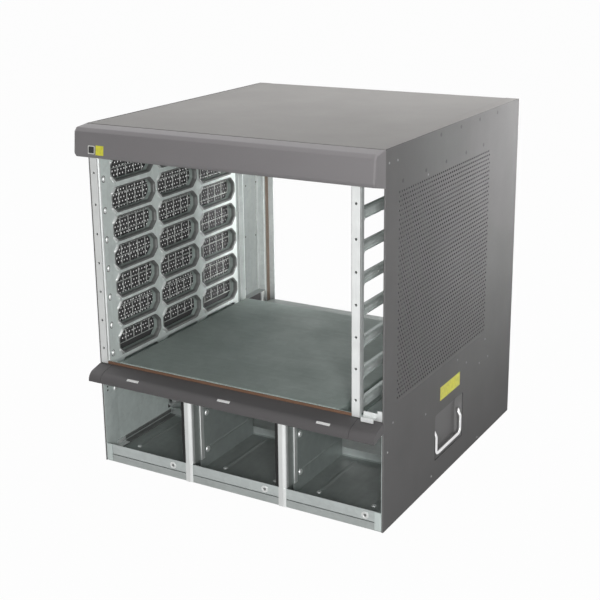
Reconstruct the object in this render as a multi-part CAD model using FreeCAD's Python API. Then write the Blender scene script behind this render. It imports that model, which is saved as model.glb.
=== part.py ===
import FreeCAD, Part
import math
import os
from FreeCAD import Vector

os.makedirs("parts", exist_ok=True)

# Depths below are measured back from the front edges of the side panels; save() moves every
# piece to the frame's origin, the middle of the footprint on the floor.

# shell
width = 436.0
height = 482.6
depth = 440.0
sheet = 1.2
bend = 1.5
hem = 12.0
cover_drop = 27.0
cover_front = 2.5
cover_lap = 40.0
post_leg = 15.5
post_flange = 18.8
fit_gap = 0.3
overcut = 1.0
button_sides = 6

# card cage
slot_pitch = 40.64
top_slot_pitch = 43.0
first_slot_z = 169.9
deck_z = 152.5
header = 45.6
cage_rear = 342.0
left_plenum = 15.0
fan_bay = 46.5
rail_width = 11.0
rail_thick = 2.5
rail_foot_z = 148.0
rail_hole_r = 1.65
rail_backing = 5.0
rail_edge = 2.9
wall_lip = 8.0
wall_foot_z = 139.7
rear_flange = 8.0

# windows of the cage walls
window_long = 94.0
window_tall = 33.0
window_chamfer = 10.0
window_web = 9.5
first_window = 27.5
catch_y = 11.0
catch_below = 13.6
catch_wide = 4.0
catch_high = 1.6
catch_tall = 6.0
catch_crown = 1.3

# deck and crossmembers
deck_left_inset = 16.0
deck_right_inset = 16.0
deck_rear = 330.0
lower_bar_z = 128.0
lower_bar_flange = 15.5
upper_bar_flange = 17.5
ceiling_upturn = 15.0
gasket_thick = 1.5
gasket_tall = 5.0
rear_gasket_wide = 10.0
rear_gasket_margin = 1.5
rear_gasket_foot = 30.0
rear_gasket_head = 32.6

# rear panel of the power chamber
rear_panel_top = 118.0
rear_panel_flange = 20.0

# air guard
wire = 1.5
wire_row_pitch = 18.0
wire_column_pitch = 18.15
guard_gap = 0.15
guard_margin = 9.05
guard_front = 19.85
guard_rear = 338.0

# rear liners
rear_liner_inset = 21.0
rear_liner_flange = 12.8

# side panels
vent_row_pitch = 6.5
vent_first_z = 165.5
vent_top_margin = 9.5
vent_tall = 3.4
vent_long = 144.5
vent_pitch = 150.0
vent_first_y = 36.0
vent_columns = 2
bead_z = 161.0
bead_wide = 4.0
bead_high = 0.8
bead_crown = 1.6
bead_start = 34.0
bead_end = 317.0

# handles
dish_front = 157.5
dish_long = 96.5
dish_foot = 31.5
dish_tall = 65.7
dish_deep = 12.0
dish_corner = 4.0
dish_rim = 8.0
bail_r = 2.5
bail_fit = 0.08
bail_span = 83.4
bail_drop = 33.0
bail_pivot_z = 72.0
bail_inset = 5.2
bail_reach = 3.8
bail_jog = 8.0
bail_corner = 6.0
bail_pin = 4.0

# fascia
fascia_lift = 0.4
fascia_wall = 2.5
fascia_profile = [(0.0, 45.0), (-21.5, 43.8), (-25.6, 39.1), (-28.5, 10.2), (-25.5, 5.6), (0.0, 0.0)]
jack_x = -188.5
jack_up = 16.6
jack_size = 9.0
jack_deep = 8.0
jack_bore_r = 2.0
jack_bore_deep = 6.0
mark_x = -175.0
mark_up = 16.5
mark_size = 12.5
mark_high = 0.15

# hood over the power bays
hood_back_z = 147.5
hood_reach = 26.5
hood_fall = 7.6
hood_lip_z = 129.0
hood_nose = 11.0
hood_wall = 2.0
hood_flange_z = 134.0
hood_left_cap = 20.0
hood_right_cap = 35.0

# power bays
bay_pitch = 146.6
post_wide = 11.6
post_deep = 40.0
sill_z = 26.0
tray_z = 10.6
pan_upturn = 10.3
pan_rear_upturn = 14.0
pan_notch = 6.0
tray_rear = 158.2
tray_stop = 22.0
divider_front = 19.0
divider_hem = 8.0
divider_rear = 155.2
dimple_places = [(36.0, 36.0), (36.0, 90.0)]
dimple_r = 4.0
dimple_high = 1.6
divider_bead_z = 38.5
divider_bead_wide = 4.0
divider_bead_high = 1.0
divider_bead_start = 42.0
divider_bead_end = 142.0
left_liner_flange = 27.0
right_liner_flange = 52.0
liner_rear = 330.0
guide_start = 25.0
guide_end = 155.0
guide_tall = 9.0
guide_wide = 9.0
insert_offset = 46.0
insert_z = 18.0
insert_r = 5.0
insert_hole_r = 2.0
insert_high = 1.0
rib_offsets = [-40.0, 40.0]
rib_wide = 6.0
rib_crown = 2.4
rib_high = 1.2
rib_start = 46.0
rib_end = 148.0
stud_offset = 40.0
stud_y = 39.0
stud_r = 3.5
stud_high = 1.5

# bracket at the foot of the fan slot
bracket_gap = 4.6
tongue_wide = 17.0
ear_gap = 2.0
bracket_top = 157.5
ear_top = 161.0
tongue_z = 152.7
tongue_reach = 9.0
tongue_foot = 146.9

# sticker
sticker_y = 173.0
sticker_z = 113.0
sticker_long = 67.0
sticker_tall = 19.0
sticker_thick = 0.25

half = width / 2
inner_x = half - sheet
hem_x = half - 2 * sheet
front_shift = -(depth + min(point[0] for point in fascia_profile)) / 2
left_wall_x = -(half - left_plenum)
right_wall_x = half - fan_bay
rail_back = rail_thick + sheet
ceiling_z = height - header
fascia_foot = ceiling_z + fascia_lift
jack_z = fascia_foot + jack_up
mark_z = fascia_foot + mark_up
highest_slot_z = ceiling_z - window_tall / 2 - sheet
slot_steps = int((highest_slot_z - top_slot_pitch - first_slot_z) / slot_pitch) + 1
slot_heights = [first_slot_z + step * slot_pitch for step in range(slot_steps)]
slot_heights.append(slot_heights[-1] + top_slot_pitch)
window_pitch = window_long + window_web
window_collar = half + left_wall_x - 2 * sheet - 2 * wire - 2 * guard_gap
window_count = int((cage_rear - first_window) / window_pitch)
vent_rows = int((ceiling_z - vent_top_margin - vent_first_z) / vent_row_pitch) + 1
rear_liner_rear = depth - rear_liner_inset
left_rail_x = -hem_x + rail_width / 2
right_rail_x = right_wall_x + rail_edge + rail_width / 2
bracket_start = right_rail_x + rail_width / 2 + bracket_gap
liner_top_z = wall_foot_z - sheet
post_centres = [-bay_pitch / 2, bay_pitch / 2]
bay_centres = [-bay_pitch, 0.0, bay_pitch]
pivot_x = half - bail_inset
dish_back = half - dish_deep


def block(x, y, z):
    corner = Vector(x[0], y[0], z[0])
    return Part.makeBox(x[1] - x[0], y[1] - y[0], z[1] - z[0], corner)


def stand(face, axis, start, end):
    # a flat outline is raised along one axis from start to end
    solid = face.extrude(Vector(0, 0, end - start))
    if axis == "x":
        rows = (0, 0, 1, start, 1, 0, 0, 0, 0, 1, 0, 0, 0, 0, 0, 1)
    elif axis == "y":
        rows = (1, 0, 0, 0, 0, 0, -1, end, 0, 1, 0, 0, 0, 0, 0, 1)
    else:
        rows = (1, 0, 0, 0, 0, 1, 0, 0, 0, 0, 1, start, 0, 0, 0, 1)
    solid.Placement = FreeCAD.Placement(FreeCAD.Matrix(*rows))
    return solid


def loop(points):
    flat = [Vector(u, v, 0) for u, v in points]
    return Part.makePolygon(flat + flat[:1])


def prism(points, axis, start, end):
    return stand(Part.Face(loop(points)), axis, start, end)


def octagon(u, v, long, tall, cut):
    a, b = long / 2, tall / 2
    return [(u - a + cut, v - b), (u + a - cut, v - b), (u + a, v - b + cut), (u + a, v + b - cut),
            (u + a - cut, v + b), (u - a + cut, v + b), (u - a, v + b - cut), (u - a, v - b + cut)]


def ring(u, v, radius):
    return Part.Wire(Part.makeCircle(radius, Vector(u, v, 0)))


def pierced(outline, holes):
    return Part.makeFace([outline] + holes, "Part::FaceMakerBullseye")


def run(points, radii):
    # straight runs joined by arcs of the given radii, or meeting in a corner where the radius is 0
    flat = [Vector(u, v, 0) for u, v in points]
    edges = []
    here = flat[0]
    for before, corner, after, radius in zip(flat, flat[1:], flat[2:], radii):
        if radius == 0:
            edges.append(Part.makeLine(here, corner))
            here = corner
            continue
        came = (corner - before).normalize()
        goes = (after - corner).normalize()
        turn = came.getAngle(goes)
        reach = radius * math.tan(turn / 2)
        toward = (goes - came).normalize()
        centre = corner + toward * (radius / math.cos(turn / 2))
        start = corner - came * reach
        end = corner + goes * reach
        edges.append(Part.makeLine(here, start))
        edges.append(Part.Arc(start, centre - toward * radius, end).toShape())
        here = end
    edges.append(Part.makeLine(here, flat[-1]))
    return edges


def left_of(a, b):
    way = Vector(b[0] - a[0], b[1] - a[1], 0).normalize()
    return Vector(-way.y, way.x, 0)


def shifted(points, gap):
    # the same path moved to its left, mitred at the corners
    moved = []
    for index, point in enumerate(points):
        sides = []
        if index > 0:
            sides.append(left_of(points[index - 1], point))
        if index < len(points) - 1:
            sides.append(left_of(point, points[index + 1]))
        first, last = sides[0], sides[-1]
        step = (first + last) * (gap / (1 + first.dot(last)))
        moved.append((point[0] + step.x, point[1] + step.y))
    return moved


def fold(points, thick, axis, start, end, inner=None):
    # folded sheet: its thickness lies to the left of the path; inner gives the inside radius of
    # each bend, 0 for a crease
    inner = inner or [0] * (len(points) - 2)
    near, far = [], []
    for a, b, c, radius in zip(points, points[1:], points[2:], inner):
        turns_left = (b[0] - a[0]) * (c[1] - b[1]) - (b[1] - a[1]) * (c[0] - b[0]) > 0
        outer = radius + thick if radius else 0
        near.append(outer if turns_left else radius)
        far.append(radius if turns_left else outer)
    other = shifted(points, thick)
    edges = run(points, near) + run(other, far)
    for a, b in ((points[0], other[0]), (points[-1], other[-1])):
        edges.append(Part.makeLine(Vector(a[0], a[1], 0), Vector(b[0], b[1], 0)))
    return stand(Part.Face(Part.Wire(Part.__sortEdges__(edges))), axis, start, end)


def mirrored(shape):
    return shape.mirror(Vector(0, 0, 0), Vector(1, 0, 0))


def joined(first, others):
    return first.fuse(others).removeSplitter()


def many_sided(u, v, radius, sides):
    turns = [2 * math.pi * step / sides for step in range(sides)]
    return loop([(u + radius * math.cos(turn), v + radius * math.sin(turn)) for turn in turns])


def button(place, way, radius, high):
    # low head with flat sides standing on a face; way is the axis it stands along
    head = Part.Face(many_sided(0, 0, radius, button_sides)).extrude(Vector(0, 0, high))
    head.Placement = FreeCAD.Placement(place, FreeCAD.Rotation(Vector(0, 0, 1), way))
    return head


def inset(points, gap):
    # the outline moved inwards, left open at the back
    path = shifted(points, gap)
    first = (points[0][0] + overcut, path[0][1])
    last = (points[-1][0] + overcut, path[-1][1])
    return [first] + path[1:-1] + [last]


def on_fascia(shape, x, z):
    # a piece made at the origin, facing -y, is set on the sloping front face
    front, foot = fascia_profile[2], fascia_profile[3]
    slope = math.atan2(front[0] - foot[0], front[1] - foot[1])
    y = foot[0] + (z - fascia_foot - foot[1]) * math.tan(slope)
    placed = shape.copy()
    placed.rotate(Vector(0, 0, 0), Vector(1, 0, 0), -math.degrees(slope))
    placed.translate(Vector(x, y, z))
    return placed


def square_block(size, front, back):
    return block((-size / 2, size / 2), (front, back), (-size / 2, size / 2))


def grown(points, gap):
    # a closed outline moved outwards
    return shifted(points + points[:2], -gap)[1:-1]


def dish_mouth():
    return octagon(dish_front + dish_long / 2, dish_foot + dish_tall / 2, dish_long, dish_tall, dish_corner)


def side_panel():
    outline = loop([(0, 0), (depth, 0), (depth, height), (0, height)])
    vents = []
    for row in range(vent_rows):
        z = vent_first_z + row * vent_row_pitch
        for column in range(vent_columns):
            y = vent_first_y + column * vent_pitch
            end, top = y + vent_long, z + vent_tall
            vents.append(loop([(y, z), (end, z), (end, top), (y, top)]))
    plate = stand(pierced(outline, vents + [loop(dish_mouth())]), "x", inner_x, half)
    fold_back = block((hem_x, inner_x), (0, hem), (0, height - sheet))
    ridge = [(half - sheet / 2, bead_z - bead_wide / 2), (half, bead_z - bead_wide / 2),
             (half + bead_high, bead_z - bead_crown / 2), (half + bead_high, bead_z + bead_crown / 2),
             (half, bead_z + bead_wide / 2), (half - sheet / 2, bead_z + bead_wide / 2)]
    bead = prism(ridge, "y", bead_start, bead_end)
    return joined(plate, [fold_back, bead])


def top_cover():
    low = height - cover_drop
    across = fold([(inner_x, low), (inner_x, height), (-inner_x, height), (-inner_x, low)],
                  sheet, "y", cover_front, depth)
    notches = []
    front_clear = rail_thick + upper_bar_flange + fit_gap
    for y in ((0, front_clear), (depth - post_leg - fit_gap, depth + overcut)):
        for x in ((-half, fit_gap - hem_x), (hem_x - fit_gap, half)):
            notches.append(block(x, y, (low - overcut, height - sheet)))
    span = inner_x - post_flange - fit_gap
    back = fold([(depth, low), (depth, height), (depth - cover_lap, height)], sheet, "x", -span, span)
    return joined(across.cut(Part.makeCompound(notches)), [back])


def base_pan():
    long_way = fold([(sheet, pan_upturn), (sheet, 0), (depth, 0), (depth, pan_rear_upturn)],
                    sheet, "x", -hem_x, hem_x)
    free = inner_x - post_flange - fit_gap
    y = (depth - pan_notch, depth + overcut)
    z = (sheet, pan_rear_upturn + overcut)
    notches = [block((free, half), y, z), block((-half, -free), y, z)]
    return long_way.cut(Part.makeCompound(notches))


def rear_corner_post():
    return fold([(inner_x, depth - post_leg), (inner_x, depth), (inner_x - post_flange, depth)],
                sheet, "z", sheet + fit_gap, height - sheet)


def rear_gasket():
    outer = hem_x - rear_gasket_margin
    return block((outer - rear_gasket_wide, outer), (depth - sheet - gasket_thick, depth - sheet),
                 (rear_gasket_foot, height - rear_gasket_head))


def rear_lower_panel():
    # stands behind the power bays, between the corner posts' gaskets
    span = hem_x - rear_gasket_margin - rear_gasket_wide - fit_gap
    back = depth - sheet
    foot = sheet + fit_gap
    return fold([(back, foot), (back, rear_panel_top), (back - rear_panel_flange, rear_panel_top)],
                sheet, "x", -span, span)


def bay_liner(flange):
    skin = fold([(inner_x, 0), (inner_x, liner_top_z), (inner_x - flange, liner_top_z)],
                sheet, "y", hem + fit_gap, liner_rear)
    edge = dish_rim + fit_gap
    opening = block((hem_x - overcut, inner_x + overcut), (dish_front - edge, dish_front + dish_long + edge),
                    (dish_foot - edge, dish_foot + dish_tall + edge))
    return skin.cut(opening)


def rear_liner():
    skin = fold([(inner_x, cage_rear + sheet), (inner_x, rear_liner_rear),
                 (inner_x - rear_liner_flange, rear_liner_rear)], sheet, "z", liner_top_z, ceiling_z)
    ledge = block((inner_x - rear_liner_flange, inner_x - sheet / 2),
                  (cage_rear + sheet, rear_liner_rear - sheet / 2), (liner_top_z, liner_top_z + sheet))
    return joined(skin, [ledge])


def cage_wall(outward, lip):
    # built as a left wall with its inside face at x = 0; outward is the reach of the front flange
    # the collars stand away from the cards, or into the cage on the wall with a lip
    path = [(-outward, rail_thick), (0, rail_thick), (0, cage_rear), (rear_flange, cage_rear)]
    bends = [bend, 0]
    if lip:
        path.insert(0, (-outward, rail_thick + lip))
        bends.insert(0, 0)
    sheet_wall = fold(path, sheet, "z", wall_foot_z, ceiling_z, bends)
    stands = (-sheet / 2, window_collar) if lip else (-sheet - window_collar, -sheet / 2)
    collars, openings, catches = [], [], []
    low = slot_heights[0] - slot_pitch
    hole_x = rail_width / 2 - outward
    for row, z in enumerate([low] + slot_heights):
        for column in range(window_count):
            y = first_window + window_long / 2 + column * window_pitch
            hole = octagon(y, z, window_long, window_tall, window_chamfer)
            openings.append(prism(hole, "x", -sheet - window_collar - overcut, window_collar + overcut))
            if row > 0:
                collars.append(prism(grown(hole, sheet), "x", stands[0], stands[1]))
        if row > 0:
            foot = z - catch_below
            bump = [(-sheet / 2, catch_y - catch_wide / 2), (catch_high, catch_y - catch_crown / 2),
                    (catch_high, catch_y + catch_crown / 2), (-sheet / 2, catch_y + catch_wide / 2)]
            catches.append(prism(bump, "z", foot, foot + catch_tall))
            reach = rail_backing / 2
            through = (rail_thick - overcut, rail_back + overcut)
            openings.append(block((hole_x - reach, hole_x + reach), through, (z - reach, z + reach)))
    below = (wall_foot_z - overcut, deck_z - sheet + fit_gap)
    openings.append(block((-outward - overcut, overcut), (0, rail_back + fit_gap), below))
    if lip:
        lip_clear = (0, rail_thick + lip + overcut)
        openings.append(block((-outward - overcut, rail_edge - outward), lip_clear, below))
    return joined(sheet_wall, collars + catches).cut(Part.makeCompound(openings))


def front_rail(x):
    outline = loop([(x - rail_width / 2, rail_foot_z), (x + rail_width / 2, rail_foot_z),
                    (x + rail_width / 2, ceiling_z), (x - rail_width / 2, ceiling_z)])
    holes = [ring(x, z, rail_hole_r) for z in slot_heights]
    return stand(pierced(outline, holes), "y", 0, rail_thick)


def air_guard():
    # flat rods across and upright rods behind them, welded where they cross
    face = left_wall_x - sheet - window_collar - guard_gap
    foot = deck_z + guard_margin
    rows = int((ceiling_z - guard_margin - foot) / wire_row_pitch)
    top = foot + rows * wire_row_pitch + wire
    rods = []
    for row in range(rows + 1):
        z = foot + row * wire_row_pitch
        rods.append(block((face - wire, face), (guard_front, guard_rear), (z, z + wire)))
    columns = int((guard_rear - guard_front) / wire_column_pitch)
    for column in range(columns + 1):
        y = guard_front + column * wire_column_pitch
        rods.append(block((face - 2 * wire, face - wire), (y, y + wire), (foot, top)))
    return Part.makeCompound(rods)


def card_deck():
    left, right = left_wall_x + deck_left_inset, right_wall_x - deck_right_inset
    hat = fold([(right_wall_x + sheet, wall_foot_z), (right, wall_foot_z), (right, deck_z), (left, deck_z),
                (left, wall_foot_z), (left_wall_x - sheet, wall_foot_z)], sheet, "y", rail_back, deck_rear)
    inside = (left + sheet / 2, right - sheet / 2)
    front = block(inside, (rail_back, rail_back + sheet), (wall_foot_z, deck_z - sheet / 2))
    back = block(inside, (deck_rear - sheet, deck_rear), (wall_foot_z, deck_z - sheet / 2))
    return joined(hat, [front, back])


def lower_crossmember():
    back = rail_thick + lower_bar_flange
    return fold([(rail_thick, deck_z - sheet), (rail_thick, lower_bar_z), (back, lower_bar_z)],
                sheet, "x", -hem_x, hem_x)


def upper_crossmember():
    top = height - sheet
    foot = ceiling_z + sheet + fit_gap
    return fold([(rail_thick + upper_bar_flange, top), (rail_thick, top), (rail_thick, foot)],
                sheet, "x", -hem_x, hem_x)


def cage_ceiling():
    top = ceiling_z + ceiling_upturn
    rear = cage_rear + sheet
    return fold([(rail_back, top), (rail_back, ceiling_z), (rear, ceiling_z), (rear, top)],
                sheet, "x", -hem_x, hem_x)


def front_gasket():
    # strip on the front of the crossmember between the rails
    start = left_rail_x + rail_width / 2 + fit_gap
    end = right_rail_x - rail_width / 2 - fit_gap
    return block((start, end), (rail_thick - gasket_thick, rail_thick),
                 (deck_z - gasket_tall, deck_z - sheet))


def fascia():
    outer = [(y, fascia_foot + z) for y, z in fascia_profile]
    body = prism(outer, "x", -half, half)
    hollow = prism(inset(outer, fascia_wall), "x", -half + fascia_wall, half - fascia_wall)
    socket = on_fascia(square_block(jack_size + 2 * fit_gap, -overcut, fascia_wall + overcut), jack_x, jack_z)
    return body.cut(Part.makeCompound([hollow, socket]))


def earth_jack():
    body = square_block(jack_size, 0, jack_deep)
    bore = stand(Part.Face(many_sided(0, 0, jack_bore_r, 8)), "y", -overcut, jack_bore_deep)
    return on_fascia(body.cut(bore), jack_x, jack_z)


def fascia_mark():
    return on_fascia(square_block(mark_size, -mark_high, 0), mark_x, mark_z)


def hood_path():
    back = (rail_thick, hood_back_z)
    nose = (-hood_reach, hood_back_z - hood_fall)
    return [(rail_thick, hood_flange_z), back, nose, (-hood_reach, hood_lip_z)]


def hood_shell(start, end):
    return fold(hood_path(), hood_wall, "x", start, end, [0, hood_nose])


def hood_cap(start):
    # right-hand cap, closed at its outer end
    shell = hood_shell(start, half - hood_wall)
    clear = block((hem_x - fit_gap, half + overcut), (0, rail_thick + overcut),
                  (hood_lip_z - overcut, hood_back_z + overcut))
    back, nose = hood_path()[1:3]
    top = back[1] - (back[1] - nose[1]) * back[0] / (back[0] - nose[0])
    path = [(0, top), nose, (-hood_reach, hood_lip_z), (0, hood_flange_z)]
    edges = run(path, [hood_nose + hood_wall, 0])
    edges.append(Part.makeLine(Vector(0, hood_flange_z, 0), Vector(0, top, 0)))
    end_plate = stand(Part.Face(Part.Wire(Part.__sortEdges__(edges))), "x", half - hood_wall, half)
    return joined(shell.cut(clear), [end_plate])


def psu_tray():
    long_way = fold([(sheet, sill_z), (sheet, tray_z), (tray_rear, tray_z), (tray_rear, tray_stop)],
                    sheet, "x", -hem_x, hem_x)
    y = (guide_start, guide_end)
    z = (sheet, tray_z + sheet / 2)
    legs = [block((hem_x - sheet, hem_x), y, z), block((-hem_x, sheet - hem_x), y, z)]
    floor = tray_z + sheet
    ribs = []
    for centre in bay_centres:
        for offset in rib_offsets:
            x = centre + offset
            ridge = [(x - rib_wide / 2, floor - sheet / 2), (x + rib_wide / 2, floor - sheet / 2),
                     (x + rib_crown / 2, floor + rib_high), (x - rib_crown / 2, floor + rib_high)]
            ribs.append(prism(ridge, "y", rib_start, rib_end))
    return joined(long_way, legs + ribs)


def psu_divider(x):
    side = post_wide / 2 + sheet
    skin = fold([(x + side, divider_front), (x + side, divider_rear), (x - side, divider_rear),
                 (x - side, divider_front)], sheet, "z", tray_z + sheet, deck_z - sheet)
    extras = []
    for way in (-1, 1):
        face = x + way * side
        edge = sorted((face, face + way * sheet))
        turned = (divider_front, divider_front + divider_hem)
        extras.append(block(edge, turned, (sill_z + fit_gap, lower_bar_z)))
        for y, z in dimple_places:
            extras.append(button(Vector(face, y, z), Vector(way, 0, 0), dimple_r, dimple_high))
        low, high = divider_bead_z - divider_bead_wide / 2, divider_bead_z + divider_bead_wide / 2
        bead = [(face - way * sheet / 2, low), (face, low), (face + way * divider_bead_high, divider_bead_z),
                (face, high), (face - way * sheet / 2, high)]
        extras.append(prism(bead, "y", divider_bead_start, divider_bead_end))
    return joined(skin, extras)


def psu_post(x):
    side = post_wide / 2
    channel = fold([(x - side, post_deep), (x - side, 0), (x + side, 0), (x + side, post_deep)],
                   sheet, "z", 0, lower_bar_z)
    over_sill = block((x - side - overcut, x + side + overcut), (sheet, post_deep + overcut),
                      (-overcut, sill_z + fit_gap))
    return channel.cut(over_sill)


def bay_guide():
    floor = tray_z + sheet
    return fold([(hem_x - guide_wide, floor), (hem_x, floor), (hem_x, floor + guide_tall)],
                sheet, "y", guide_start, guide_end)


def sill_inserts():
    # press-in studs with a hexagonal socket
    nuts = []
    for centre in bay_centres:
        x = centre + insert_offset
        face = pierced(many_sided(x, insert_z, insert_r, 6), [many_sided(x, insert_z, insert_hole_r, 6)])
        nuts.append(stand(face, "y", sheet - insert_high, sheet))
    return Part.makeCompound(nuts)


def floor_studs():
    studs = []
    for x in bay_centres:
        for way in (-1, 1):
            place = Vector(x + way * stud_offset, stud_y, tray_z + sheet)
            studs.append(button(place, Vector(0, 0, 1), stud_r, stud_high))
    return Part.makeCompound(studs)


def fan_slot_bracket():
    back = (rail_thick - sheet, rail_thick)
    end = hem_x - fit_gap
    plate = block((bracket_start, end), back, (hood_back_z + fit_gap, bracket_top))
    ear = block((bracket_start + tongue_wide + ear_gap, end), back, (bracket_top - overcut, ear_top))
    tip = rail_thick - tongue_reach
    tongue = fold([(rail_thick - sheet / 2, tongue_z), (tip, tongue_z), (tip, tongue_foot)],
                  sheet, "x", bracket_start, bracket_start + tongue_wide)
    return joined(plate, [ear, tongue])


def handle_dish():
    mouth = dish_mouth()
    pan = prism(grown(mouth, sheet), "x", dish_back - sheet, inner_x)
    rim = prism(grown(mouth, dish_rim), "x", hem_x, inner_x)
    hollow = prism(mouth, "x", dish_back, inner_x + overcut)
    start = Vector(pivot_x, dish_front - dish_rim, bail_pivot_z)
    bore = Part.makeCylinder(bail_r + bail_fit, dish_long + 2 * dish_rim, start, Vector(0, 1, 0))
    return joined(pan, [rim]).cut(Part.makeCompound([hollow, bore]))


def handle_bail():
    middle = dish_front + dish_long / 2
    arm = bail_span / 2
    turn = bail_corner
    tip = dish_long / 2 + sheet + bail_pin
    low = bail_pivot_z - bail_drop
    arm_x = pivot_x + bail_reach
    half_path = [(arm_x, arm - turn, low), (arm_x, arm, low + turn), (arm_x, arm, bail_pivot_z - bail_jog),
                 (pivot_x, arm, bail_pivot_z), (pivot_x, tip, bail_pivot_z)]
    path = [(x, -u, z) for x, u, z in reversed(half_path)] + half_path
    spine = Part.makePolygon([Vector(x, middle + u, z) for x, u, z in path])
    start = spine.Vertexes[0].Point
    section = Part.Wire(Part.makeCircle(bail_r, start, Vector(0, 1, 0)))
    return spine.makePipeShell([section], True, False, 1)


def side_sticker():
    return block((half, half + sticker_thick), (sticker_y, sticker_y + sticker_long),
                 (sticker_z, sticker_z + sticker_tall))


def save(name, shape):
    placed = shape.copy()
    placed.translate(Vector(0, front_shift, 0))
    placed.exportStep("parts/" + name + ".step")
    print(name, len(placed.Solids), "valid" if placed.isValid() else "not valid", round(placed.Volume))


def pair(name, shape):
    save("right_" + name, shape)
    save("left_" + name, mirrored(shape))


pair("side_panel", side_panel())
save("top_cover", top_cover())
save("base_pan", base_pan())
pair("rear_corner_post", rear_corner_post())
pair("rear_gasket", rear_gasket())
save("rear_lower_panel", rear_lower_panel())
save("right_bay_liner", bay_liner(right_liner_flange))
save("left_bay_liner", mirrored(bay_liner(left_liner_flange)))
pair("rear_liner", rear_liner())

left_wall = cage_wall(hem_x + left_wall_x, 0)
left_wall.translate(Vector(left_wall_x, 0, 0))
save("left_cage_wall", left_wall)
right_wall = mirrored(cage_wall(rail_edge + rail_width, wall_lip))
right_wall.translate(Vector(right_wall_x, 0, 0))
save("right_cage_wall", right_wall)
save("left_front_rail", front_rail(left_rail_x))
save("right_front_rail", front_rail(right_rail_x))
save("left_air_guard", air_guard())
save("card_deck", card_deck())
save("lower_crossmember", lower_crossmember())
save("upper_crossmember", upper_crossmember())
save("cage_ceiling", cage_ceiling())
save("front_gasket", front_gasket())

save("fascia", fascia())
save("earth_jack", earth_jack())
save("fascia_mark", fascia_mark())
save("hood_body", hood_shell(-half + hood_left_cap + fit_gap, half - hood_right_cap - fit_gap))
save("hood_right_cap", hood_cap(half - hood_right_cap))
save("hood_left_cap", mirrored(hood_cap(half - hood_left_cap)))

save("psu_tray", psu_tray())
for side, x in zip(("left", "right"), post_centres):
    save(side + "_psu_divider", psu_divider(x))
    save(side + "_psu_post", psu_post(x))
pair("bay_guide", bay_guide())
save("sill_inserts", sill_inserts())
save("psu_floor_studs", floor_studs())
save("fan_slot_bracket", fan_slot_bracket())

pair("handle_dish", handle_dish())
pair("handle_bail", handle_bail())
save("side_sticker", side_sticker())
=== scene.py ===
import math
import bmesh
import bpy
import numpy as np
from mathutils import Matrix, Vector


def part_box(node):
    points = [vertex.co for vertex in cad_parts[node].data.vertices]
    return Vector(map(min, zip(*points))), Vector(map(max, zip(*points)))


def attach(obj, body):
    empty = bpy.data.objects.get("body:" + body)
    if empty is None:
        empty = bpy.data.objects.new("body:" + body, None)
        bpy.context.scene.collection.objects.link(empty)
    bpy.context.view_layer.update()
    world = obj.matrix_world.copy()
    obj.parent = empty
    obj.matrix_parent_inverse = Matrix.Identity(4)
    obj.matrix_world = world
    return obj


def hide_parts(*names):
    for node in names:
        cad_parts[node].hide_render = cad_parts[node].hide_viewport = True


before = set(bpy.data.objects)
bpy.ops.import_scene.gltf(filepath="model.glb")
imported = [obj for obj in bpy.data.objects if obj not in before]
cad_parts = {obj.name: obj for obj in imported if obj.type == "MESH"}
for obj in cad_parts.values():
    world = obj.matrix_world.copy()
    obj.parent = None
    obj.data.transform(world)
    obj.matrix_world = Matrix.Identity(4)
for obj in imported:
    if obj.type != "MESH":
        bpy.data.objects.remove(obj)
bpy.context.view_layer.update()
scene = bpy.context.scene
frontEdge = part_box("right_side_panel")[0].y  # metres, where the side panels start
print("frame loaded,", len(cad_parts), "nodes")

# Lengths below are millimetres; y counts back from the front edges of the side panels.
millimetre = 0.001
origin = np.array([0.0, frontEdge, 0.0])
closeBy = 2e-6  # metres, within which points become one
straight = 1e-4  # radians, below which a corner counts as straight
sunk = 0.3  # how far a pressed mark reaches into the sheet below it
askew = (0.31, 0.52, 0.79)  # a direction along no axis
quarter = np.linspace(0, math.pi / 2, 6)


class Sizes(dict):
    # a dictionary whose entries can also be read after a dot
    __getattr__ = dict.__getitem__


def toFrame(points):
    # millimetres from the panel front become metres in the shared frame
    return np.asarray(points, float) * millimetre + origin


def nodeBox(name):
    # the low and high corners of a node, in millimetres from the panel front
    return [(np.array(corner) - origin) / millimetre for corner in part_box(name)]


def unit(vectors):
    vectors = np.asarray(vectors, float)
    return vectors / np.linalg.norm(vectors, axis=-1, keepdims=True)


def roundPath(points, radii, steps=5):
    # straight runs and tangent arcs: arc start + r * (run * sin t + inward * (1 - cos t)), t up to the turn
    corners = np.asarray(points, float)
    legs = unit(np.diff(corners, axis=0))
    pieces = [corners[:1]]
    for came, goes, corner, radius in zip(legs[:-1], legs[1:], corners[1:-1], radii):
        turn = math.acos(float(np.clip(came @ goes, -1, 1)))
        if radius <= 0 or turn < straight:
            pieces.append(corner[None])
            continue
        inward = (goes - came * math.cos(turn)) / math.sin(turn)
        t = np.linspace(0, turn, steps + 1)[:, None]
        start = corner - came * radius * math.tan(turn / 2)
        pieces.append(start + radius * (came * np.sin(t) + inward * (1 - np.cos(t))))
    pieces.append(corners[-1:])
    return np.concatenate(pieces)


def roundLoop(points, radii, steps=5):
    # the closed form of roundPath
    return roundPath([points[-1], *points, points[0]], radii, steps)[1:-1]


def roundBox(u, v, radii, steps=5):
    # a rectangle over two spans, its corners rounded in turn from the low one
    corners = [(u[0], v[0]), (u[1], v[0]), (u[1], v[1]), (u[0], v[1])]
    return roundLoop(corners, np.broadcast_to(radii, 4), steps)


def leftOf(path, gap):
    # every point moves to the left of its run by gap, along both normals' sum over half its square
    legs = np.diff(path, axis=0)
    normals = unit(np.stack([-legs[:, 1], legs[:, 0]], 1))
    both = np.concatenate([normals[:1], normals]) + np.concatenate([normals, normals[-1:]])
    return path + gap * 2 * both / (both * both).sum(1, keepdims=True)


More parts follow.
